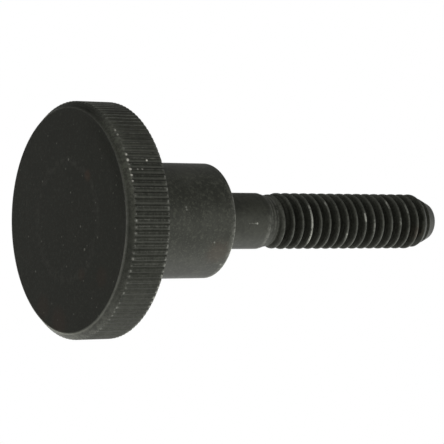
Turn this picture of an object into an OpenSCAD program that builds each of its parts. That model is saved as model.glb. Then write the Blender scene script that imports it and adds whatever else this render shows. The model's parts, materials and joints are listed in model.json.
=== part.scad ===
// Knurled thumb screw, turned from one bar: a flat knurled head, a plain round
// collar, a plain shank and a rolled right-hand thread with a tapered point.
// Millimetres. The screw stands on the flat face of its head: the origin is the
// centre of that face, and +Z runs along the axis towards the thread's point.

/* [Head] */
// Diameter over the knurl
head_d = 25.5; // [20:0.1:32]
// Thickness of the head
head_h = 4.9; // [3:0.1:8]
// Height of the front bevel, along the axis
bevel_h = 0.75; // [0.3:0.05:1.5]
// Width of the front bevel, across the radius
bevel_w = 0.7; // [0.3:0.05:1.5]
// Break on the head's back edge
head_break = 0.1; // [0.05:0.05:0.4]

/* [Knurl] */
// Number of straight teeth around the head
knurl_teeth = 120; // [80:2:140]
// Depth of the grooves between the teeth
knurl_depth = 0.15; // [0.05:0.01:0.4]
// Width of the flat on top of each tooth
knurl_land = 0.28; // [0.04:0.01:0.4]

/* [Collar] */
// Diameter of the collar
collar_d = 12.7; // [8:0.1:18]
// Length of the collar, from the head's back
collar_h = 12.7; // [4:0.1:25]
// Break on the collar's end edge
collar_break = 0.25; // [0.05:0.05:0.6]

/* [Shank] */
// Diameter of the plain shank
shank_d = 6.3; // [6:0.05:7.5]
// Length of the plain shank, from the collar's end
shank_h = 6.85; // [2:0.05:20]
// Length of the taper from the shank down to the neck before the thread
taper_h = 1; // [0.4:0.1:3]
// Diameter of the neck
neck_d = 5.74; // [5:0.02:5.9]

/* [Thread] */
// Major diameter of the thread
thread_d = 6.35; // [5.5:0.05:7]
// Pitch of the thread
pitch = 1.27; // [0.8:0.01:1.5]
// Length of the thread with its point, from the end of the taper
thread_h = 23.6; // [10:0.1:50]
// Length over which the neck swells to the major diameter
swell_h = 1.6; // [0.5:0.1:5]
// Length over which the groove sinks to its full depth
runout_h = 1.8; // [1:0.1:5]
// Height of the point's cone
point_h = 2.6; // [1:0.1:4]
// Diameter that the point's cone narrows to
point_d = 4; // [3.5:0.1:4.6]
// Rounding of the point's end edge
point_round = 0.6; // [0.1:0.1:1]

/* [Hidden] */
$fn = 96;

// Heights of the shoulders along the axis
collar_z = head_h + collar_h;
taper_z = collar_z + shank_h;
thread_z = taper_z + taper_h;
end_z = thread_z + thread_h;

// Unified thread form: flanks at 30 degrees to the radius, and a depth and a
// crest flat that are fixed shares of the pitch
flank_angle = 30;
thread_depth = 0.6134 * pitch;
crest_w = pitch / 8;
flank_w = thread_depth * tan(flank_angle);
root_r = thread_d / 2 - thread_depth;

// Step between the taper's small end and the neck where the turns begin
neck_step = 0.03;

// Facets in one turn of thread, and the angle about the axis where the helix starts
turn_facets = 36;
thread_start = 220;

// The turns are drawn past both ends, and trimmed there to the screw's outline
spare_turns = 1.5;
trim_overlap = 0.4;
trim_margin = 0.3;
helix_z = thread_z - trim_overlap - spare_turns * pitch;
helix_turns = (end_z - helix_z) / pitch + spare_turns;
stations = ceil(helix_turns * turn_facets);

// Steps along the rounded edge of the point
round_steps = 5;

// One tooth of the knurl: its land's two corners, then the groove's bottom.
// land_angle is half of the land, seen from the axis
function land_angle() = asin(knurl_land / head_d);
function knurl_tooth(turn) = [
    for (corner = [
        [head_d / 2, -land_angle()],
        [head_d / 2, land_angle()],
        [head_d / 2 - knurl_depth, 180 / knurl_teeth]
    ])
    corner[0] * [cos(turn + corner[1]), sin(turn + corner[1])]
];

// Outline of the head with its teeth, seen along the axis
module knurl_outline() {
    polygon([
        for (i = [0 : knurl_teeth - 1])
        each knurl_tooth(360 * i / knurl_teeth)
    ]);
}

// The head's turned form: flat face, front bevel and the back edge's break
module head_blank() {
    face_r = head_d / 2 - bevel_w;
    rim_r = head_d / 2;
    rotate_extrude()
        polygon([
            [0, 0],
            [face_r, 0],
            [rim_r, bevel_h],
            [rim_r, head_h - head_break],
            [rim_r - head_break, head_h],
            [0, head_h]
        ]);
}

// The head: teeth cut along the rim, which run out on the bevel
module head() {
    intersection() {
        linear_extrude(head_h) knurl_outline();
        head_blank();
    }
}

// Collar, plain shank and taper, as one turned profile from inside the head
module stem() {
    collar_r = collar_d / 2;
    shank_r = shank_d / 2;
    rotate_extrude()
        polygon([
            [0, head_h / 2],
            [collar_r, head_h / 2],
            [collar_r, collar_z - collar_break],
            [collar_r - collar_break, collar_z],
            [shank_r, collar_z],
            [shank_r, taper_z],
            [neck_d / 2 + neck_step, thread_z],
            [0, thread_z]
        ]);
}

// One cut through a turn of thread: radius at full depth, and height
thread_form = [
    [root_r, 0],
    [thread_d / 2, flank_w],
    [thread_d / 2, flank_w + crest_w],
    [root_r, 2 * flank_w + crest_w]
];
form_corners = len(thread_form);

// Share of a run that starts at height start, reached at height z
function share(z, start, length) = min(1, max(0, (z - start) / length));

// Radius of the crests at a height: the neck's, which swells to the full thread's
function crest_r(z) =
    neck_d / 2 + (thread_d - neck_d) / 2 * share(z, thread_z, swell_h);

// A corner of the thread form at one station of the helix
function helix_point(station, corner) =
    let (
        angle = thread_start + 360 * station / turn_facets,
        z = helix_z + pitch * station / turn_facets + corner[1],
        depth = thread_d / 2 - corner[0],
        r = crest_r(z) - depth * share(z, thread_z, runout_h)
    )
    [r * cos(angle), r * sin(angle), z];

// Number of a corner in the list of points
function at(station, corner) = station * form_corners + corner;

// Right-hand thread: flanks and crest along the helix, the root that joins each
// turn to the next, and a fan from the axis that closes each end
module helix() {
    last = stations;
    low_hub = at(last + 1, 0);
    high_hub = low_hub + 1;
    root_last = last - turn_facets;
    top_corner = form_corners - 1;
    points = [
        for (s = [0 : last])
        for (corner = thread_form)
        helix_point(s, corner),
        [0, 0, helix_z],
        [0, 0, helix_z + pitch * last / turn_facets + 2 * flank_w + crest_w]
    ];
    flanks = [
        for (s = [0 : last - 1])
        for (c = [0 : top_corner - 1])
        [at(s, c), at(s, c + 1), at(s + 1, c + 1), at(s + 1, c)]
    ];
    roots = [
        for (s = [0 : root_last - 1])
        [at(s, top_corner), at(s + turn_facets, 0), at(s + turn_facets + 1, 0), at(s + 1, top_corner)]
    ];
    low_fan = [
        for (s = [0 : turn_facets - 1])
        [low_hub, at(s, 0), at(s + 1, 0)]
    ];
    high_fan = [
        for (s = [root_last : last - 1])
        [high_hub, at(s + 1, top_corner), at(s, top_corner)]
    ];
    low_step = [
        for (c = [0 : top_corner - 1])
        [low_hub, at(0, c + 1), at(0, c)]
    ];
    high_step = [
        for (c = [0 : top_corner - 1])
        [high_hub, at(last, c), at(last, c + 1)]
    ];
    seams = [
        [low_hub, at(turn_facets, 0), at(0, top_corner)],
        [high_hub, at(root_last, top_corner), at(last, 0)]
    ];
    polyhedron(points, concat(flanks, roots, low_fan, high_fan, low_step, high_step, seams));
}

// Outline that trims the turns: square below, and a rounded cone at the point
module thread_trim() {
    cone_slope = (thread_d / 2 - point_d / 2) / point_h;
    cone_angle = atan(cone_slope);
    trim_r = thread_d / 2 + trim_margin;
    arc_z = end_z - point_round;
    arc_r = point_d / 2 + point_round * (cone_slope - 1 / cos(cone_angle));
    rotate_extrude()
        polygon([
            [0, thread_z - trim_overlap],
            [trim_r, thread_z - trim_overlap],
            [trim_r, end_z - point_h - trim_margin / cone_slope],
            for (i = [0 : round_steps])
            let (turn = cone_angle + (90 - cone_angle) * i / round_steps)
            [arc_r + point_round * cos(turn), arc_z + point_round * sin(turn)],
            [0, end_z]
        ]);
}

// The rolled thread with its run-out and point
module thread() {
    intersection() {
        helix();
        thread_trim();
    }
}

// The whole screw, one piece of blackened steel
module thumb_screw() {
    color([0.13, 0.13, 0.12]) {
        head();
        stem();
        thread();
    }
}

thumb_screw();
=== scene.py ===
"""Looks of the knurled thumb screw: one worn, blackened steel skin in place of the CAD solid."""

import json
import math

import bpy
import numpy as np
from mathutils import Matrix, Vector


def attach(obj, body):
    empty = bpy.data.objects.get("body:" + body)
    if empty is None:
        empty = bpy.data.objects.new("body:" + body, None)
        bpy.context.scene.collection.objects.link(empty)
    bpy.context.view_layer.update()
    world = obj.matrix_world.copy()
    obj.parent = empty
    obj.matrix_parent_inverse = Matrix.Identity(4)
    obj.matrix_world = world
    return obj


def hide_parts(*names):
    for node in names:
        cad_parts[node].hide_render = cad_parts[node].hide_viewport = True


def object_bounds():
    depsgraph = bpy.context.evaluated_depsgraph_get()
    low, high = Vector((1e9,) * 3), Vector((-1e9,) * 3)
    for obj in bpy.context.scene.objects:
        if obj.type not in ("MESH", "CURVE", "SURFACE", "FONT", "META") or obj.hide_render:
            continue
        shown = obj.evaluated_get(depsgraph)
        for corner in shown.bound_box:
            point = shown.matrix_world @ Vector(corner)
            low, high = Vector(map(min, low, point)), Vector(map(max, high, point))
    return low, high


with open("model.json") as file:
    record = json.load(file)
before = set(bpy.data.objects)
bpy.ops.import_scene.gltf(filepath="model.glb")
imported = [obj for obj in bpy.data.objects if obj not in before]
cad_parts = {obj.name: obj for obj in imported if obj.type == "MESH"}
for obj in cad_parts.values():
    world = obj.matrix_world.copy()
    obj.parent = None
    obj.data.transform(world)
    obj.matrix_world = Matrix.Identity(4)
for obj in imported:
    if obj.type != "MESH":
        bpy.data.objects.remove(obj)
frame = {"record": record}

NODE = "thumb_screw"
SLOT = "blackened_steel"
MM = 0.001
CAD_LOW, CAD_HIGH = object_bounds()
MOUNTS = {mount["name"]: mount for mount in frame["record"]["mounts"]}


# ---------------------------------------------------------------- sizes, in millimetres

RIM_R = CAD_HIGH.x / MM
END_Z = CAD_HIGH.z / MM

# The head, from its flat face at height 0
HEAD_H = 4.9
BEVEL_H = 0.75
BEVEL_W = 0.7
FACE_R = RIM_R - BEVEL_W
HEAD_BREAK = 0.1
TEETH = 120
TOOTH_W = 2 * math.pi * RIM_R / TEETH
LAND_W = 0.28
GROOVE_DEPTH = 0.15

# Rounding of the head's edges, of a tooth's corners and of where the grooves run out on the bevel
FACE_ROUND = 0.06
RIM_ROUND = 0.1
TOOTH_SOFT = 0.03
RUNOUT_SOFT = 0.02

# The collar and the plain shank
COLLAR_R = 6.35
COLLAR_Z = MOUNTS["collar_seat"]["pos_m"][2] / MM
COLLAR_BREAK = 0.25
SHANK_R = MOUNTS["shank"]["dims"]["r_mm"]
SHANK_H = MOUNTS["shank"]["dims"]["length_mm"]
TAPER_Z = COLLAR_Z + SHANK_H
TAPER_H = 1.0
NECK_R = 2.87

# Rounding of the corners at the feet of the collar and the shank, and where the shank's taper starts
CORNER_R = 0.12
SHOULDER_ROUND = 0.3

# The thread
THREAD_R = MOUNTS["thread"]["dims"]["r_mm"]
THREAD_Z = TAPER_Z + TAPER_H
PITCH = 1.27
THREAD_DEPTH = 0.6134 * PITCH
CREST_W = PITCH / 8
FLANK_ANGLE = math.radians(30)
ROOT_R = THREAD_R - THREAD_DEPTH
SWELL_H = 1.6
RUNOUT_H = 1.8
CREST_SOFT = 0.035
ROOT_SOFT = 0.06

# Height of the crest that stands over the +X side, near the run-out's end
CREST_Z = 27.978

# The point: a cone with a rounded end edge
POINT_H = 2.6
POINT_R = 2.0
POINT_ROUND = 0.6
POINT_SOFT = 0.05
POINT_SLOPE = (THREAD_R - POINT_R) / POINT_H
POINT_ANGLE = math.atan(POINT_SLOPE)
ROUND_Z = END_Z - POINT_ROUND
ROUND_R = POINT_R + POINT_ROUND * (POINT_SLOPE - 1 / math.cos(POINT_ANGLE))

# Edges that turn by more than this are shaded as sharp
SHARP_ANGLE = math.radians(40)


# ---------------------------------------------------------------- detail of the meshes

STEM_COLUMNS = 144
FACE_COLUMNS = 240
TOOTH_COLUMNS = 10
RIM_COLUMNS = TEETH * TOOTH_COLUMNS
ARC_STEPS = 5

# Steps along each straight stretch of the outline
FACE_STEPS = 14
BEVEL_STEPS = 8
RUNOUT_STEPS = 6
BACK_STEPS = 5
COLLAR_STEPS = 26
SEAT_STEPS = 4
SHANK_STEPS = 16
TAPER_STEPS = 8

# Heights of the rings along the rim, closer together near its back edge
RIM_RINGS = [0.95, 1.25, 2.0, 2.9, 3.8, 4.4, 4.6, 4.7]

# Radius of the face's first ring, and how far inside the face's edge and the back's edge an added
# ring lies. These two keep the edges' wear from being drawn out across the flats.
CENTRE_R = 0.5
FACE_MARGIN = 0.14
BACK_MARGIN = 0.12

# Radius of the one ring on the point's flat end
END_RING_R = 0.5 * ROUND_R

# Chance differences from tooth to tooth: the share of the full depth that its groove has, how rubbed its
# two ends are, how bright its ridge's painted highlight is, how dark its side's painted shade is, and
# how dark its land is
CHANCE = np.random.default_rng(20)
GROOVE_SHARES = CHANCE.uniform(0.75, 1.0, TEETH)
FRONT_RUB = CHANCE.uniform(0, 1, TEETH) ** 2
BACK_RUB = CHANCE.uniform(0.3, 1, TEETH)
RIDGE_HIGHLIGHT = CHANCE.uniform(0, 1, TEETH) ** 1.5
WALL_SHADE = CHANCE.uniform(0.3, 1, TEETH)
LAND_TONE = CHANCE.uniform(0.6, 1, TEETH)


def soft_min(a, b, width):
    """The lesser of two values, with the corner between them rounded over that width."""
    share = np.clip(0.5 + 0.5 * (b - a) / width, 0, 1)
    return b + (a - b) * share - width * share * (1 - share)


def soft_max(a, b, width):
    """The greater of two values, with the corner between them rounded over that width."""
    return -soft_min(-a, -b, width)


def bend(start, corner, end, radius):
    """Points of an arc of that radius round the corner of two straight lines, as (radius, height)."""
    start, corner, end = (np.array(p, float) for p in (start, corner, end))
    into = (start - corner) / np.linalg.norm(start - corner)
    out = (end - corner) / np.linalg.norm(end - corner)
    half = math.acos(float(np.clip(into @ out, -1, 1))) / 2
    centre = corner + (into + out) / np.linalg.norm(into + out) * radius / math.sin(half)
    first = corner + into * radius / math.tan(half) - centre
    last = corner + out * radius / math.tan(half) - centre
    turn = math.pi - 2 * half
    shares = [i / ARC_STEPS for i in range(ARC_STEPS + 1)]
    return [
        tuple(centre + (math.sin((1 - t) * turn) * first + math.sin(t * turn) * last) / math.sin(turn))
        for t in shares
    ]


def straight(start, end, steps):
    """Points between two ends of a straight line, without the ends."""
    start, end = np.array(start, float), np.array(end, float)
    return [tuple(start + (end - start) * i / steps) for i in range(1, steps)]


# ---------------------------------------------------------------- the skin, ring by ring

class Skin:
    """One closed surface, made of rings of points round the axis.

    Each point keeps its angle as a share of a turn, and how far along the profile it lies. Each face
    keeps the name of the patch of the texture map that it belongs to.
    """

    def __init__(self):
        self.points = []
        self.turns = []
        self.along = []
        self.faces = []
        self.patches = []
        self.patch = "face"
        self.length = 0.0
        self.last = None

    def add(self, x, y, z, turn, along):
        self.points.append((x, y, z))
        self.turns.append(turn)
        self.along.append(along)
        return len(self.points) - 1

    def face(self, *corners):
        self.faces.append(corners)
        self.patches.append(self.patch)

    def ring(self, radii, height, columns, nominal=None):
        """A ring of points at one height. The radius is one number, or one for each column."""
        nominal = float(radii) if nominal is None else nominal
        if self.last:
            self.length += math.hypot(nominal - self.last[0], height - self.last[1])
        self.last = (nominal, height)
        radii = np.broadcast_to(radii, (columns,))
        found = []
        for k in range(columns):
            angle = 2 * math.pi * k / columns
            x, y = radii[k] * math.cos(angle), radii[k] * math.sin(angle)
            found.append(self.add(x, y, height, k / columns, self.length))
        return found

    def join(self, low, high):
        """Faces between two rings that start at the same angle, of equal or different counts."""
        if len(low) == len(high):
            for i in range(len(low)):
                j = (i + 1) % len(low)
                self.face(low[i], low[j], high[j], high[i])
            return
        i = j = 0
        while i < len(low) or j < len(high):
            a, b = low[i % len(low)], high[j % len(high)]
            if (i + 1) / len(low) <= (j + 1) / len(high):
                self.face(a, low[(i + 1) % len(low)], b)
                i += 1
            else:
                self.face(a, high[(j + 1) % len(high)], b)
                j += 1

    def sweep(self, ring, profile, columns):
        """Rings along a profile of (radius, height), each joined to the one before."""
        for radius, height in profile:
            following = self.ring(radius, height, columns)
            self.join(ring, following)
            ring = following
        return ring

    def close(self, ring, height, upward):
        """A point on the axis that closes the surface."""
        hub = self.add(0.0, 0.0, height, 0.0, 0.0)
        for i in range(len(ring)):
            a, b = ring[i], ring[(i + 1) % len(ring)]
            self.face(*((a, b, hub) if upward else (b, a, hub)))

    def fan(self, corners):
        """A gap between rings and rows, filled with triangles from its first corner."""
        for i in range(1, len(corners) - 1):
            if len({corners[0], corners[i], corners[i + 1]}) == 3:
                self.face(corners[0], corners[i], corners[i + 1])


def tooth_depths():
    """Depth of the knurl's grooves at each column of the rim. A tooth stands over the +X side."""
    turns = np.arange(RIM_COLUMNS) / TOOTH_COLUMNS
    place = turns % 1
    from_tooth = np.minimum(place, 1 - place) * TOOTH_W
    slope = GROOVE_DEPTH / ((TOOTH_W - LAND_W) / 2)
    depths = soft_max((from_tooth - LAND_W / 2) * slope, 0, TOOTH_SOFT)
    return depths * GROOVE_SHARES[turns.astype(int)]


def add_head(skin):
    """Flat face, front bevel, knurled rim and the head's back edge."""
    skin.patch = "face"
    centre_ring = skin.ring(CENTRE_R, 0, FACE_COLUMNS)
    skin.close(centre_ring, 0, upward=False)
    face_end = (FACE_R, 0)
    rim_start = (RIM_R, BEVEL_H)
    front = bend((0, 0), face_end, rim_start, FACE_ROUND)
    flat = straight((CENTRE_R, 0), face_end, FACE_STEPS) + [(FACE_R - FACE_MARGIN, 0)]
    ring = skin.sweep(centre_ring, flat + front[:1], FACE_COLUMNS)
    skin.patch = "rim"
    groove_share = 1 - (GROOVE_DEPTH + TOOTH_SOFT) / BEVEL_W
    groove_start = (FACE_R + BEVEL_W * groove_share, BEVEL_H * groove_share)
    bevel = straight(front[-1], groove_start, BEVEL_STEPS)
    ring = skin.sweep(ring, front[1:] + bevel, FACE_COLUMNS)

    depths = tooth_depths()
    rows = [groove_start] + straight(groove_start, rim_start, RUNOUT_STEPS)
    rows += bend(face_end, rim_start, (RIM_R, HEAD_H), RIM_ROUND)
    rows += [(RIM_R, height) for height in RIM_RINGS]
    rows += bend((RIM_R, 0), (RIM_R, HEAD_H), (0, HEAD_H), HEAD_BREAK)
    for radius, height in rows:
        radii = soft_min(np.full(RIM_COLUMNS, radius), RIM_R - depths, RUNOUT_SOFT)
        following = skin.ring(radii, height, RIM_COLUMNS, nominal=radius)
        skin.join(ring, following)
        ring = following
    return ring


def add_stem(skin, ring):
    """Head's back, collar, shank and taper."""
    collar_foot, collar_top = (COLLAR_R, HEAD_H), (COLLAR_R, COLLAR_Z)
    shank_foot, shank_top = (SHANK_R, COLLAR_Z), (SHANK_R, TAPER_Z)
    taper_end = (NECK_R, THREAD_Z)
    back_edge = (RIM_R - HEAD_BREAK, HEAD_H)
    root = bend((RIM_R, HEAD_H), collar_foot, collar_top, CORNER_R)
    collar_edge = bend(collar_foot, collar_top, shank_foot, COLLAR_BREAK)
    neck = bend(collar_top, shank_foot, shank_top, CORNER_R)
    shoulder = bend(shank_foot, shank_top, taper_end, SHOULDER_ROUND)

    back = [(RIM_R - HEAD_BREAK - BACK_MARGIN, HEAD_H)] + straight(back_edge, collar_foot, BACK_STEPS)
    collar = root[1:] + straight(root[-1], collar_edge[0], COLLAR_STEPS) + collar_edge
    seat = straight(collar_edge[-1], neck[0], SEAT_STEPS) + neck[:1]
    shank = neck[1:] + straight(neck[-1], shoulder[0], SHANK_STEPS) + shoulder
    taper = straight(shoulder[-1], taper_end, TAPER_STEPS) + [taper_end]

    skin.patch = "back"
    ring = skin.sweep(ring, back + root[:1], STEM_COLUMNS)
    skin.patch = "collar"
    ring = skin.sweep(ring, collar, STEM_COLUMNS)
    skin.patch = "seat"
    ring = skin.sweep(ring, seat, STEM_COLUMNS)
    skin.patch = "shank"
    return skin.sweep(ring, shank + taper, STEM_COLUMNS)


def thread_radius(angle, height):
    """Radius of the threaded length at an angle and a height, with its run-out and point."""
    turn = (height - CREST_Z) / PITCH - angle / (2 * math.pi)
    from_crest = abs((turn + 0.5) % 1 - 0.5) * PITCH
    flank = THREAD_R - (from_crest - CREST_W / 2) / math.tan(FLANK_ANGLE)
    form = soft_max(soft_min(flank, THREAD_R, CREST_SOFT), ROOT_R, ROOT_SOFT)
    swell = np.clip((height - THREAD_Z) / SWELL_H, 0, 1)
    sunk = np.clip((height - THREAD_Z) / RUNOUT_H, 0, 1)
    form = NECK_R + (THREAD_R - NECK_R) * swell - (THREAD_R - form) * sunk
    cone = POINT_R + (END_Z - height) * POINT_SLOPE
    return float(soft_min(form, cone, POINT_SOFT))


# Distances from a crest's middle, along the axis, at which a turn of the thread has a row of points
HALF_TURN_ROWS = [0.05, 0.09, 0.15, 0.26, 0.37, 0.46, 0.54]
TURN_ROWS = [-d for d in reversed(HALF_TURN_ROWS)] + [0] + HALF_TURN_ROWS + [PITCH / 2]

# Rows this close to the thread's two ends are left out
ROW_MARGIN = 0.02

# Room on the texture map between the last turn and the point's end edge
MAP_GAP = 0.1


def row_lengths():
    """How far along the thread's cut outline each row of one turn lies, and the length of a turn."""
    whole_turn = CREST_Z + 3 * PITCH
    outline = [(thread_radius(0, whole_turn + z), z) for z in TURN_ROWS + [TURN_ROWS[0] + PITCH]]
    steps = [math.dist(a, b) for a, b in zip(outline, outline[1:])]
    return np.cumsum([0] + steps[:-1]), sum(steps)


def add_thread(skin, low_ring):
    """The helical turns: columns whose rows climb one pitch for each turn, between two flat rings."""
    skin.patch = "thread"
    columns = STEM_COLUMNS
    low_z = THREAD_Z
    high_z = ROUND_Z + POINT_ROUND * math.sin(POINT_ANGLE)
    first_turn = math.floor((low_z - CREST_Z) / PITCH) - 2
    last_turn = math.ceil((high_z - CREST_Z) / PITCH) + 1
    rows_per_turn = len(TURN_ROWS)
    lengths, turn_length = row_lengths()
    thread_foot = skin.length

    grid = []
    for k in range(columns):
        angle = 2 * math.pi * k / columns
        column = {}
        for turn in range(first_turn, last_turn + 1):
            turns = turn + k / columns
            for j, offset in enumerate(TURN_ROWS):
                z = CREST_Z + PITCH * turns + offset
                if low_z + ROW_MARGIN < z < high_z - ROW_MARGIN:
                    r = thread_radius(angle, z)
                    along = thread_foot + (turns - first_turn) * turn_length + lengths[j]
                    place = skin.add(r * math.cos(angle), r * math.sin(angle), z, k / columns, along)
                    column[turn * rows_per_turn + j] = place
        grid.append(column)

    radii = [thread_radius(2 * math.pi * k / columns, high_z) for k in range(columns)]
    skin.length = max(skin.along) + MAP_GAP
    skin.last = None
    high_ring = skin.ring(np.array(radii), high_z, columns, nominal=ROUND_R)

    for k in range(columns):
        following = (k + 1) % columns
        left, right = grid[k], grid[following]
        if following == 0:
            right = {row - rows_per_turn: place for row, place in right.items()}
        left_first, left_last, right_first, right_last = min(left), max(left), min(right), max(right)
        foot = [low_ring[k], low_ring[following]]
        foot += [right[row] for row in range(right_first, left_first + 1)]
        skin.fan(foot + [left[left_first]])
        for row in range(left_first, right_last):
            skin.face(left[row], right[row], right[row + 1], left[row + 1])
        top = [left[right_last], right[right_last], high_ring[following], high_ring[k]]
        skin.fan(top + [left[row] for row in range(left_last, right_last, -1)])
    return high_ring


def add_point(skin, ring):
    """The rounded end edge and the flat end."""
    turns = [POINT_ANGLE + (math.pi / 2 - POINT_ANGLE) * i / ARC_STEPS for i in range(1, ARC_STEPS + 1)]
    profile = [(ROUND_R + POINT_ROUND * math.cos(t), ROUND_Z + POINT_ROUND * math.sin(t)) for t in turns]
    ring = skin.sweep(ring, profile, STEM_COLUMNS)
    skin.patch = "end"
    ring = skin.sweep(ring, [(END_RING_R, END_Z)], STEM_COLUMNS)
    skin.close(ring, END_Z, upward=True)


# ---------------------------------------------------------------- the texture map

# The map's size in millimetres, and where each patch lies on it. A flat patch has its centre and its
# scale. A wrapped one has its low corner, its width for one turn and its scale along the profile.
MAP_SIZE = 80
FLAT_PATCHES = {
    "face": (13.5, 59, 1.1),
    "back": (41.5, 45.5, 1.0),
    "seat": (35, 66.5, 1.0),
    "end": (48, 66.5, 1.4),
}
WRAPPED_PATCHES = {
    "rim": (0.5, 0.5, 79, 1.4),
    "collar": (0.5, 9.5, 54, 1.5),
    "shank": (0.5, 31.5, 27, 1.4),
    "thread": (56.5, 9.5, 23, 1.5),
}


def add_map(skin, data):
    """Gives each corner of each face its place on the texture map."""
    layer = data.uv_layers.new(name="OFBake")
    starts = {}
    for corners, patch in zip(skin.faces, skin.patches):
        low = min(skin.along[c] for c in corners)
        starts[patch] = min(starts.get(patch, low), low)
    places = []
    for corners, patch in zip(skin.faces, skin.patches):
        if patch in FLAT_PATCHES:
            middle_x, middle_y, scale = FLAT_PATCHES[patch]
            for c in corners:
                x, y, _ = skin.points[c]
                places.append((middle_x + scale * x, middle_y + scale * y))
            continue
        low_x, low_y, width, scale = WRAPPED_PATCHES[patch]
        turns = [skin.turns[c] for c in corners]
        wraps = max(turns) - min(turns) > 0.5
        for c, turn in zip(corners, turns):
            turn += 1 if wraps and turn < 0.5 else 0
            places.append((low_x + width * turn, low_y + scale * (skin.along[c] - starts[patch])))
    layer.data.foreach_set("uv", np.array(places, dtype=np.float32).ravel() / MAP_SIZE)


# ---------------------------------------------------------------- wear, grime, painted highlights and painted shade, painted on the points

# Stretches of crest that are rubbed bright and painted as highlights, each as (turn, first angle, last
# angle, strength), with turn 0 the crest at CREST_Z and the angles in degrees
CREST_STRETCHES = [
    (2, -130, -30, 1.6), (4, -135, -108, 0.9), (6, -66, -46, 0.8), (8, -108, -88, 1.4),
    (9, -102, -54, 0.5), (11, -140, -116, 1.0), (12, -100, -76, 0.5), (13, -130, -106, 0.6),
]

# Heights of the faint rings that the rolling left round the neck
ROLLED_RINGS = [24.8, 25.3, 25.75]

# Angles round the axis, in degrees, at which the bevel and the teeth beside it are palest, rubbed and
# painted as a highlight
PALE_BEVEL_ANGLE = -124
PALE_TEETH_ANGLE = -144

# A height just over 0, below which a point lies on the flat face
FACE_LEVEL = 0.001


def near(value, middle, reach):
    """1 at the middle, falling to 0 at that distance from it."""
    return np.clip(1 - np.abs(value - middle) / reach, 0, 1)


def rise(value, start, width):
    """0 up to the start, rising to 1 over that width."""
    return np.clip((value - start) / width, 0, 1)


def between(first, last, share):
    """The first value at share 0 and the last at share 1."""
    return first + (last - first) * share


def paint(data, name, values):
    """Keeps a value for each point, which the material reads by its name."""
    layer = data.attributes.new(name, "FLOAT", "POINT")
    layer.data.foreach_set("value", np.asarray(values, dtype=np.float32))


class Places:
    """Where the skin's points lie on the screw: arrays with one value for each point."""

    def __init__(self, skin):
        x, y, z = np.array(skin.points).T
        self.z = z
        self.r = np.hypot(x, y)
        self.angle = np.degrees(np.arctan2(y, x))

        # 1 at the +X side, which is the lower one in the photograph, and 0 at the -X side
        self.low_side = 0.5 + 0.5 * np.cos(np.radians(self.angle))

        # The flat face, the rim from just inside the face's edge, its bevel and its toothed length, the
        # collar with its seat, and the threaded length
        self.on_face = z < FACE_LEVEL
        self.on_rim = (z < HEAD_H + 0.01) & (self.r > FACE_R - 0.3)
        self.on_bevel = self.on_rim & (z > 0.05) & (z < BEVEL_H)
        self.on_knurl = self.on_rim & (z > BEVEL_H) & (self.r > RIM_R - HEAD_BREAK - 0.1)
        self.on_collar = (z > HEAD_H) & (self.r > SHANK_R + 0.5)
        self.on_thread = (z > THREAD_Z) & (self.r > 0)

        # The nearest tooth, and how far its middle is, from -0.5 to 0.5 of a tooth
        tooth_place = self.angle / 360 * TEETH
        self.tooth = np.round(tooth_place).astype(int) % TEETH
        self.from_land = tooth_place - np.round(tooth_place)

        # Radius of the crests at the point's height
        self.crest_r = NECK_R + (THREAD_R - NECK_R) * rise(z, THREAD_Z, SWELL_H)


def knurl_wear_and_highlights(at):
    """How far the teeth's front and back ends are rubbed, with painted highlights on the back ends and
    more on the front ends towards the +X side, and on the upper ridges towards the -X side.
    """
    front = at.on_rim * near(at.z, BEVEL_H + 0.02, reach=0.2) * near(at.from_land, 0, reach=0.32)
    front *= between(0.2, 1.1, FRONT_RUB[at.tooth]) * between(0.7, 1.3, at.low_side)
    # Rubbed back ends, with a painted highlight growing towards the +X side
    back = at.on_knurl * near(at.z, HEAD_H - 0.12, reach=0.2) * near(at.from_land, 0, reach=0.45)
    back *= between(0, 3.0, BACK_RUB[at.tooth]) * at.low_side
    # Painted highlight on each land's upper ridge, strongest towards the -X side
    ridge = at.on_knurl * near(at.from_land, -0.14, reach=0.12)
    ridge *= between(0.15, 1.25, RIDGE_HIGHLIGHT[at.tooth])
    ridge *= np.clip(between(1.05, -0.25, at.low_side), 0.05, 1)
    return [front, back, ridge]


def stem_wear_and_highlights(at):
    """How far the collar's edge, the shoulder, the neck's rings and the thread's crests are rubbed, with
    painted highlights on the collar's edge, the shoulder and the crests.
    """
    # Painted highlights on the collar's edge, the shoulder and the crests, growing towards the +X side
    collar = near(at.z, COLLAR_Z - 0.12, reach=0.22) * near(at.r, COLLAR_R - 0.04, reach=0.12)
    collar *= between(0, 1.5, at.low_side)
    shoulder = near(at.z, TAPER_Z - 0.1, reach=0.3) * near(at.r, SHANK_R, reach=0.1)
    shoulder *= between(0, 0.4, rise(at.low_side, 0.25, width=0.4))
    rolled = np.max([near(at.z, height, reach=0.14) for height in ROLLED_RINGS], axis=0)
    rolled *= between(0.36, 0.06, at.low_side)
    crest = at.on_thread * near(at.r, at.crest_r, reach=0.16) * rise(at.z, THREAD_Z, width=0.5)
    crest *= between(0.05, 0.17, at.low_side)
    stretches = crest_stretches(at) * at.on_thread * near(at.r, THREAD_R, reach=0.1)
    return [collar, shoulder, rolled, crest, stretches]


def crest_stretches(at):
    """Strength of the bright stretches along the thread's crests, rubbed and painted as highlights."""
    total = np.zeros_like(at.angle)
    turn = np.round((at.z - CREST_Z) / PITCH - at.angle / 360)
    for number, start, end, strength in CREST_STRETCHES:
        along = near(at.angle, (start + end) / 2, (end - start) / 2)
        total = np.maximum(total, strength * np.minimum(1, 3 * along) * (turn == number))
    return total


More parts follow.
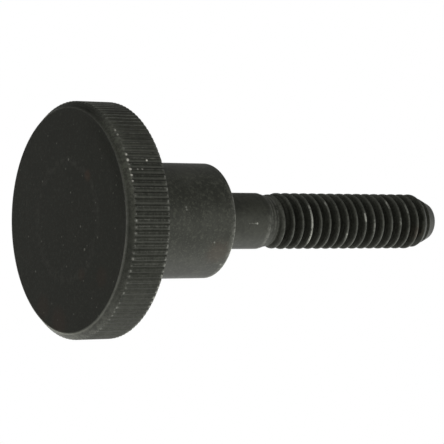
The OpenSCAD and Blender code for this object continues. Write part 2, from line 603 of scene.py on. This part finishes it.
def grime_and_shade_places(at, pale_side):
    """How thick grime and painted shade lie: on the lands, the grooves' walls, the taper, the thread's
    turns, the shank, the face and the bevel.
    """
    # Painted shade on the lands except towards the -X side, darker on some teeth at random
    land = at.on_knurl * near(at.from_land, 0, reach=0.4) * LAND_TONE[at.tooth]
    land *= rise(at.low_side, 0, width=0.45)
    # Painted shade on one wall of each groove, strongest towards the -X side
    wall = at.on_knurl * near(at.from_land, -0.36, reach=0.16) * WALL_SHADE[at.tooth]
    wall *= between(0.4, 0, at.low_side)
    # The taper, painted darker up to the thread
    taper = (at.z <= THREAD_Z + 0.01) * between(0, 0.45, rise(at.z, TAPER_Z + 0.05, width=0.1))
    # Painted shade on the thread's flanks and over its run-out
    flank = at.on_thread * (at.z < END_Z - POINT_H) * rise(at.crest_r - at.r, 0.03, width=0.15)
    runout = at.on_thread * between(0, 0.5, near(at.z, THREAD_Z, reach=1.2))
    # Painted shade on the shank's -X side
    on_shank = (at.z > COLLAR_Z + 0.1) & (at.z < TAPER_Z)
    shank = on_shank * between(0.35, 0, rise(at.low_side, 0.2, width=0.15))
    # Painted shade on the face beside the pale bevel, and on the bevel towards the -X side
    face = at.on_face * near(at.r, FACE_R - 0.5, reach=1.6) * between(0, 0.4, pale_side)
    bevel = at.on_bevel * between(0.6, 0, rise(at.low_side, 0.03, width=0.05))
    return [land, wall, taper, flank, runout, shank, face, bevel]


def pale_places(at, pale_side):
    """How far the bevel, the face's edge and the teeth beside it are painted pale, as rubbing and as a
    painted highlight.
    """
    bevel = at.on_bevel * between(0, 0.85, pale_side)
    face_edge = at.on_rim * near(at.r, FACE_R + 0.05, reach=0.2) * between(0, 1.3, pale_side)
    worn_teeth = np.minimum(1, 1.6 * near(at.angle, PALE_TEETH_ANGLE, reach=30))
    teeth = at.on_knurl * near(at.z, BEVEL_H, reach=1.2) * between(0, 0.5, worn_teeth)
    return [bevel, face_edge, teeth]


def add_wear(skin, data):
    """Paints where the skin is rubbed, pale, grimy or mottled, and where painted highlights and painted
    shade lie.
    """
    at = Places(skin)
    # Bare steel on the face's edge and the bevel, with a painted highlight there that grows towards the
    # +X side
    face_edge = at.on_rim * near(at.r, FACE_R + 0.03, reach=0.16) * between(0.3, 1, at.low_side)
    bevel = at.on_bevel * at.low_side ** 6
    paint(data, "sheen", np.maximum(0.9 * face_edge, 0.12 * bevel))
    # Rubbed steel, with painted highlights on the knurl, the collar's edge, the shoulder and the crests
    rubbed = [0.4 * face_edge, 0.3 * bevel] + knurl_wear_and_highlights(at) + stem_wear_and_highlights(at)
    paint(data, "edge", np.max(rubbed, axis=0))

    # The stretch round the bevel that is painted pale, partly as a highlight; it also places the painted
    # shade on the face
    pale_side = np.minimum(1, 1.6 * near(at.angle, PALE_BEVEL_ANGLE, reach=40))
    paint(data, "pale", np.max(pale_places(at, pale_side), axis=0))
    paint(data, "hollow", np.max(grime_and_shade_places(at, pale_side), axis=0))

    patches = [at.on_face, at.on_collar, at.on_rim, at.on_thread]
    paint(data, "mottle", np.select(patches, [1.3, 1.7, 1.0, 0.0], default=0.75))


def make_screw():
    """The screw's skin as a Blender object, with its map and its wear."""
    skin = Skin()
    add_point(skin, add_thread(skin, add_stem(skin, add_head(skin))))
    data = bpy.data.meshes.new("thumb_screw_skin")
    data.from_pydata([tuple(c * MM for c in p) for p in skin.points], [], skin.faces)
    add_map(skin, data)
    add_wear(skin, data)
    screw = bpy.data.objects.new("thumb_screw_skin", data)
    bpy.context.scene.collection.objects.link(screw)
    data.shade_smooth()
    data.set_sharp_from_angle(angle=SHARP_ANGLE)
    return screw


# ---------------------------------------------------------------- materials

class Graph:
    """Builds a node tree with short calls. Values may be numbers, colours or sockets."""

    def __init__(self, tree):
        self.tree = tree

    def node(self, kind, inputs=(), **settings):
        made = self.tree.nodes.new(kind)
        for name, value in settings.items():
            setattr(made, name, value)
        for key, value in dict(inputs).items():
            self.put(made.inputs[key], value)
        return made

    def put(self, socket, value):
        if isinstance(value, bpy.types.NodeSocket):
            self.tree.links.new(value, socket)
        else:
            socket.default_value = value

    def maths(self, operation, a, b=0.0):
        return self.node("ShaderNodeMath", {0: a, 1: b}, operation=operation).outputs[0]

    def vector(self, operation, a, b=(0, 0, 0), output="Vector"):
        return self.node("ShaderNodeVectorMath", {0: a, 1: b}, operation=operation).outputs[output]

    def plus(self, a, b):
        return self.maths("ADD", a, b)

    def times(self, a, b):
        return self.maths("MULTIPLY", a, b)

    def most(self, a, b):
        return self.maths("MAXIMUM", a, b)

    def ramp(self, value, low, high, out_low=0.0, out_high=1.0):
        """A smooth step of the value from low to high."""
        inputs = {"Value": value, "From Min": low, "From Max": high}
        inputs.update({"To Min": out_low, "To Max": out_high})
        return self.node("ShaderNodeMapRange", inputs, interpolation_type="SMOOTHSTEP").outputs["Result"]

    def noise(self, place, scale, detail, roughness):
        inputs = {"Vector": place, "Scale": scale, "Detail": detail, "Roughness": roughness}
        return self.node("ShaderNodeTexNoise", inputs).outputs["Fac"]

    def mix(self, share, a, b):
        made = self.node("ShaderNodeMix", {0: share, 6: a, 7: b}, data_type="RGBA")
        return made.outputs[2]

    def blend(self, share, a, b):
        return self.node("ShaderNodeMix", {0: share, 2: a, 3: b}, data_type="FLOAT").outputs[0]

    def attribute(self, name):
        return self.node("ShaderNodeAttribute", attribute_name=name).outputs["Fac"]


# Colours of the oxide and what lies on it, of painted shade and painted highlights, and of the floor
OXIDE_DARK = (0.0226, 0.0236, 0.018, 1)
OXIDE_PALE = (0.040, 0.0415, 0.0325, 1)
FACE_OXIDE = (0.0215, 0.0225, 0.0125, 1)
MOTTLE = (0.094, 0.098, 0.075, 1)
# The pale colour is rubbed oxide and a painted highlight
PALE = (0.145, 0.15, 0.12, 1)
# The grime colour also serves as painted shade
GRIME_AND_SHADE = (0.0172, 0.018, 0.0135, 1)
# The bare steel colour also serves as painted highlights
BARE_STEEL_AND_HIGHLIGHT = (0.38, 0.385, 0.34, 1)
RUST = (0.09, 0.04, 0.02, 1)
SPECK = (0.3, 0.29, 0.25, 1)
NICK_AND_GLINT = (0.72, 0.71, 0.63, 1)
SPECULAR_TINT = (0.97, 1.0, 0.88, 1)
FLOOR_COLOUR = (0.86, 0.86, 0.86, 1)

# How much of the mixed-in colour shows at most: the face's own oxide, the mottling and the rust
FACE_SHARE = 0.7
MOTTLE_SHARE = 0.4
RUST_SHARE = 0.6

# Roughness of the oxide from its smoothest to its roughest, of grime and painted shade, and of rubbed
# steel and painted highlights
OXIDE_ROUGHNESS = (0.38, 0.52)
GRIME_AND_SHADE_ROUGHNESS = 0.7
STEEL_ROUGHNESS = 0.35

# How metallic rubbed steel with its painted highlights is, and grime with its painted shade
STEEL_METAL = 0.8
GRIME_AND_SHADE_METAL = 0.75

# Waves for each millimetre, in the noises of the surface and in the traces of the lathe
FINE_SCALE = 5.0
BLOTCH_SCALE = 2.6
MIDDLE_SCALE = 1.6
BROAD_SCALE = 0.3
TURNED_SCALE = 4.0

# Dust on the face: cells for each millimetre, each with one grain or none
DUST_SCALE = 1.1

# Height of the surface's grain in millimetres, and how strongly it tilts the surface
GRAIN_HEIGHT = 0.02
GRAIN_STRENGTH = 0.5

# Radius of a faint ring on the face
FACE_RING_R = 6.3

# Marks that the photograph shows, each as (x, y, z, radius, strength), in millimetres. Specks of dust
# lie on the face, nicks and painted glints on the knurl, nicks on the stem, and faint rust on the face,
# the collar and the point.
FACE_SPECKS = [
    (-6.48, -0.36, 0, 0.13, 1.0), (-4.21, 5.19, 0, 0.10, 0.7), (-2.97, -0.80, 0, 0.10, 0.8),
    (0.64, -2.89, 0, 0.11, 0.8), (1.77, -6.37, 0, 0.10, 0.7), (3.05, -3.73, 0, 0.14, 1.0),
    (1.77, 8.24, 0, 0.10, 0.6), (2.29, 5.37, 0, 0.09, 0.6), (5.57, 6.67, 0, 0.11, 0.7),
    (4.91, 0.00, 0, 0.10, 0.6),
]
EDGE_NICKS_AND_GLINTS = [
    (-6.83, -10.76, 0.78, 0.12, 0.9), (-6.25, -11.10, 0.76, 0.15, 1.0), (-5.30, -11.58, 0.76, 0.15, 1.0),
    (-4.71, -11.84, 0.76, 0.14, 1.0), (-4.08, -12.07, 0.76, 0.11, 0.8), (-6.23, -11.11, 3.05, 0.11, 1.0),
    (-5.30, -11.58, 1.65, 0.09, 0.5), (-5.30, -11.58, 2.20, 0.09, 0.5), (-9.38, -8.62, 0.74, 0.11, 0.6),
    (-8.91, -9.10, 0.74, 0.11, 0.5),
]
STEM_NICKS = [
    (-1.45, -6.18, 11.18, 0.11, 0.45), (-1.2, -6.24, 11.2, 0.11, 0.45), (2.34, -5.90, 15.02, 0.1, 0.5),
    (4.76, -4.20, 16.96, 0.12, 0.6), (0.28, -3.14, 22.62, 0.11, 0.9), (0.28, -3.14, 22.4, 0.07, 0.6),
    (0.3, -3.14, 22.15, 0.06, 0.5), (0.26, -3.14, 21.9, 0.06, 0.5), (0.3, -3.14, 21.6, 0.06, 0.4),
]
RUST_PATCHES = [
    (-4.72, -4.30, 0, 0.55, 1.0), (5.70, -3.12, 0, 0.6, 0.5), (5.86, -7.2, 0, 1.0, 0.4),
    (10.9, 1.6, 0, 1.5, 0.5), (9.4, 5.0, 0, 1.2, 0.4), (3.4, -5.3, 15.8, 1.3, 0.35),
    (1.2, -2.45, 45.6, 0.9, 0.5),
]


def marks(graph, place, spots, ragged):
    """Share of the surface that a list of round marks covers, with edges that the noise makes ragged."""
    total = 0.0
    for x, y, z, radius, strength in spots:
        far = graph.vector("DISTANCE", place, (x, y, z), "Value")
        far = graph.plus(far, graph.times(ragged, radius))
        spot = graph.ramp(far, 0.6 * radius, 1.4 * radius, strength, 0.0)
        total = graph.most(total, spot)
    return total


def face_dust(graph, place, from_axis, middle):
    """Share of the face that grains of dust and a faint broken ring cover."""
    cells = graph.node("ShaderNodeTexVoronoi", {"Vector": place, "Scale": DUST_SCALE}).outputs
    chance = graph.node("ShaderNodeSeparateColor", {0: cells["Color"]}).outputs[0]
    grain = graph.ramp(cells["Distance"], 0.05, 0.14, 1.0, 0.0)
    grain = graph.times(grain, graph.ramp(chance, 0.5, 1.0, 0.0, 0.7))
    from_ring = graph.maths("ABSOLUTE", graph.maths("SUBTRACT", from_axis, FACE_RING_R))
    ring = graph.ramp(from_ring, 0.1, 0.7, 1.0, 0.0)
    ring = graph.times(ring, graph.ramp(middle, 0.4, 0.6, 0.0, 0.08))
    return graph.most(grain, ring)


def steel_material():
    """Black oxide on steel: cloudy and mottled, with grime and painted shade in its recesses, rubbed
    bright and with painted highlights on its edges.
    """
    material = bpy.data.materials.new(SLOT)
    material.use_nodes = True
    tree = material.node_tree
    graph = Graph(tree)
    shader = tree.nodes["Principled BSDF"]

    # The place on the screw in millimetres, and the same turned about the axis into one plane
    metres = graph.node("ShaderNodeTexCoord").outputs["Object"]
    scaled = graph.node("ShaderNodeVectorMath", {0: metres, "Scale": 1 / MM}, operation="SCALE")
    place = scaled.outputs["Vector"]
    axes = graph.node("ShaderNodeSeparateXYZ", {0: place}).outputs
    outward = graph.node("ShaderNodeCombineXYZ", {0: axes["X"], 1: axes["Y"]}).outputs[0]
    from_axis = graph.vector("LENGTH", outward, output="Value")
    turned_place = graph.node("ShaderNodeCombineXYZ", {0: from_axis, 1: axes["Z"]}).outputs[0]

    fine = graph.noise(place, FINE_SCALE, detail=3.0, roughness=0.6)
    middle = graph.noise(place, MIDDLE_SCALE, detail=3.0, roughness=0.6)
    blotch = graph.noise(place, BLOTCH_SCALE, detail=2.0, roughness=0.5)
    broad = graph.noise(place, BROAD_SCALE, detail=2.0, roughness=0.5)
    turned = graph.noise(turned_place, TURNED_SCALE, detail=3.0, roughness=0.7)
    ragged = graph.maths("SUBTRACT", fine, 0.5)
    on_face = graph.ramp(axes["Z"], 0.01, 0.03, 1.0, 0.0)

    # The oxide, with its clouds, mottling and rust
    cloud = graph.ramp(graph.plus(middle, broad), 0.8, 1.2)
    colour = graph.mix(cloud, OXIDE_DARK, OXIDE_PALE)
    colour = graph.mix(graph.times(on_face, FACE_SHARE), colour, FACE_OXIDE)
    speckle = graph.most(graph.ramp(fine, 0.52, 0.72), graph.ramp(blotch, 0.55, 0.68, 0.0, 0.7))
    speckle = graph.times(speckle, graph.times(graph.attribute("mottle"), MOTTLE_SHARE))
    colour = graph.mix(speckle, colour, MOTTLE)
    patchy = graph.ramp(graph.plus(fine, blotch), 0.85, 1.15, 0.35, 1.0)
    pale = graph.times(graph.attribute("pale"), patchy)
    colour = graph.mix(graph.maths("MINIMUM", pale, 1.0), colour, PALE)
    rust = marks(graph, place, RUST_PATCHES, graph.times(ragged, 2.0))
    colour = graph.mix(graph.times(rust, RUST_SHARE), colour, RUST)

    # Grime and painted shade in the recesses and on the shaded sides, drawn out in the direction of
    # turning
    streaks = graph.plus(fine, graph.times(turned, 1.5))
    grimy_and_shaded = graph.times(graph.attribute("hollow"), graph.ramp(streaks, 1.0, 1.5, 1.0, 0.55))
    colour = graph.mix(grimy_and_shaded, colour, GRIME_AND_SHADE)

    # Bare steel on the rubbed edges and in the nicks, and painted highlights on edges, ridges and crests
    rubbed = graph.ramp(graph.plus(middle, fine), 0.8, 1.2, 0.2, 1.2)
    wear = graph.times(graph.attribute("edge"), rubbed)
    wear = graph.most(wear, marks(graph, place, STEM_NICKS, ragged))
    wear = graph.maths("MINIMUM", graph.plus(wear, graph.attribute("sheen")), 1.0)
    colour = graph.mix(wear, colour, BARE_STEEL_AND_HIGHLIGHT)
    # Near-white spots on the knurl's teeth: nicks and painted glints
    colour = graph.mix(marks(graph, place, EDGE_NICKS_AND_GLINTS, ragged), colour, NICK_AND_GLINT)

    # Dust and specks on the face
    dust = graph.times(face_dust(graph, place, from_axis, middle), on_face)
    speck = marks(graph, place, FACE_SPECKS, ragged)
    colour = graph.mix(graph.most(speck, dust), colour, SPECK)

    roughness = graph.blend(fine, *OXIDE_ROUGHNESS)
    roughness = graph.blend(grimy_and_shaded, roughness, GRIME_AND_SHADE_ROUGHNESS)
    roughness = graph.blend(wear, roughness, STEEL_ROUGHNESS)
    metal = graph.most(graph.times(wear, STEEL_METAL), graph.times(grimy_and_shaded, GRIME_AND_SHADE_METAL))
    grain = graph.plus(graph.plus(fine, graph.times(middle, 0.8)), graph.times(turned, 0.5))
    bump_inputs = {"Height": grain, "Strength": GRAIN_STRENGTH, "Distance": GRAIN_HEIGHT * MM}
    bump = graph.node("ShaderNodeBump", bump_inputs)
    graph.put(shader.inputs["Base Color"], colour)
    graph.put(shader.inputs["Roughness"], roughness)
    graph.put(shader.inputs["Metallic"], metal)
    graph.put(shader.inputs["Normal"], bump.outputs["Normal"])
    shader.inputs["Specular Tint"].default_value = SPECULAR_TINT
    return material


def floor_material():
    """Pale from above. From below it is clear, because the camera looks up through it at the face."""
    material = bpy.data.materials.new("floor")
    material.use_nodes = True
    tree = material.node_tree
    graph = Graph(tree)
    pale = graph.node("ShaderNodeBsdfDiffuse", {"Color": FLOOR_COLOUR})
    clear = graph.node("ShaderNodeBsdfTransparent")
    below = graph.node("ShaderNodeNewGeometry").outputs["Backfacing"]
    mixed = graph.node("ShaderNodeMixShader", {0: below, 1: pale.outputs[0], 2: clear.outputs[0]})
    tree.links.new(mixed.outputs[0], tree.nodes["Material Output"].inputs["Surface"])
    return material


# ---------------------------------------------------------------- camera

# The line of sight makes this angle with the screw's axis, in radians, and meets the head's face first
VIEW_ANGLE = 0.9744
# Distance from the camera to the face's centre along the line of sight, and the photograph's scale there
VIEW_DISTANCE = 246.25
PIXELS_PER_MM = 9.3916
# How far the face's centre lies from the line of sight, to the left and up
AIM_LEFT = 16.544
AIM_UP = 0.169
# The camera's small roll in radians, the sensor's width in millimetres and the picture's size in pixels
VIEW_ROLL = -0.0025
SENSOR = 36
PICTURE = 444

SIGHT = Vector((0, math.sin(VIEW_ANGLE), math.cos(VIEW_ANGLE)))


def make_camera():
    """The photograph's camera, with the screw's axis level across the picture."""
    level = Vector((0, -math.cos(VIEW_ANGLE), math.sin(VIEW_ANGLE)))
    upright = Vector((-1, 0, 0))
    right = math.cos(VIEW_ROLL) * level - math.sin(VIEW_ROLL) * upright
    up = math.sin(VIEW_ROLL) * level + math.cos(VIEW_ROLL) * upright
    place = AIM_LEFT * right - AIM_UP * up - VIEW_DISTANCE * SIGHT
    data = bpy.data.cameras.new("camera")
    data.sensor_width = SENSOR
    data.lens = PIXELS_PER_MM * VIEW_DISTANCE * SENSOR / PICTURE
    data.clip_start = 0.01
    data.clip_end = 10
    camera = bpy.data.objects.new("camera", data)
    bpy.context.scene.collection.objects.link(camera)
    turned = Matrix([[right[i], up[i], -SIGHT[i]] for i in range(3)]).to_4x4()
    camera.matrix_world = Matrix.Translation(place * MM) @ turned
    bpy.context.scene.camera = camera


# ---------------------------------------------------------------- light and floor

# The studio is white, with a dark side at -X and a dimmer one at +X
DARK_SIDE_LIGHT = 0.2
BRIGHT_SIDE_LIGHT = 0.5

# Its lower half is dim beyond the screw, and less so on the camera's side
DIM_BELOW_LIGHT = 0.125
CAMERA_SIDE_SHARE = 0.3

# The backdrop is white round the line of sight, up to the first of these angles from it in radians, and
# has faded out at the second
BACKDROP_WHITE = 0.16
BACKDROP_END = 0.24

# A soft lamp, in metres and watts
LAMP_PLACE = Vector((0.56, -0.07, 0.41))
LAMP_SIZE = 0.8
LAMP_WATTS = 1.2

# The floor lies just under the face, with a hole a little wider than the face, and is made in rings
FLOOR_HOLE = 12.1
FLOOR_RADII = [FLOOR_HOLE, 20, 60, 200, 700, 2500]
FLOOR_COLUMNS = 96
FLOOR_Z = -0.01


def make_world():
    """White studio light with a dark side, and the white backdrop."""
    world = bpy.data.worlds.new("studio")
    bpy.context.scene.world = world
    world.use_nodes = True
    tree = world.node_tree
    graph = Graph(tree)
    toward = graph.node("ShaderNodeTexCoord").outputs["Generated"]
    parts = graph.node("ShaderNodeSeparateXYZ", {0: toward}).outputs
    across = graph.ramp(parts["X"], -0.5, 0.05, DARK_SIDE_LIGHT, 1.0)
    across = graph.times(across, graph.ramp(parts["X"], 0.2, 0.8, 1.0, BRIGHT_SIDE_LIGHT))
    low = graph.ramp(parts["Z"], -0.5, 0.0, 1.0, 0.0)
    beyond = graph.ramp(parts["Y"], -0.6, 0.2, CAMERA_SIDE_SHARE, 1.0)
    dim = graph.times(graph.times(low, beyond), 1 - DIM_BELOW_LIGHT)
    light = graph.times(across, graph.maths("SUBTRACT", 1.0, dim))
    ahead = graph.vector("DOT_PRODUCT", toward, SIGHT, "Value")
    backdrop = graph.ramp(ahead, math.cos(BACKDROP_END), math.cos(BACKDROP_WHITE))
    light = graph.most(light, backdrop)
    grey = graph.node("ShaderNodeCombineColor", {0: light, 1: light, 2: light}).outputs[0]
    graph.put(tree.nodes["Background"].inputs["Color"], grey)


def make_lamp():
    """A soft lamp that points at the origin."""
    data = bpy.data.lights.new("lamp", "AREA")
    data.shape = "DISK"
    data.size = LAMP_SIZE
    data.energy = LAMP_WATTS
    lamp = bpy.data.objects.new("lamp", data)
    bpy.context.scene.collection.objects.link(lamp)
    lamp.location = LAMP_PLACE
    lamp.rotation_euler = (-LAMP_PLACE).to_track_quat("-Z", "Y").to_euler()


def make_floor():
    """A pale disc with a hole under the head, so that light reaches the face."""
    points = []
    for radius in FLOOR_RADII:
        for k in range(FLOOR_COLUMNS):
            angle = 2 * math.pi * k / FLOOR_COLUMNS
            points.append((radius * MM * math.cos(angle), radius * MM * math.sin(angle), FLOOR_Z * MM))
    faces = []
    for i in range(len(FLOOR_RADII) - 1):
        for k in range(FLOOR_COLUMNS):
            j = (k + 1) % FLOOR_COLUMNS
            inner, outer = i * FLOOR_COLUMNS, (i + 1) * FLOOR_COLUMNS
            faces.append((inner + k, outer + k, outer + j, inner + j))
    data = bpy.data.meshes.new("floor")
    data.from_pydata(points, [], faces)
    data.materials.append(floor_material())
    floor = bpy.data.objects.new("floor", data)
    bpy.context.scene.collection.objects.link(floor)


# ---------------------------------------------------------------- the scene

screw = make_screw()
screw.data.materials.append(steel_material())
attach(screw, "root")
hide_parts(NODE)
make_camera()
make_world()
make_lamp()
make_floor()
bpy.context.scene.view_settings.view_transform = "Standard"
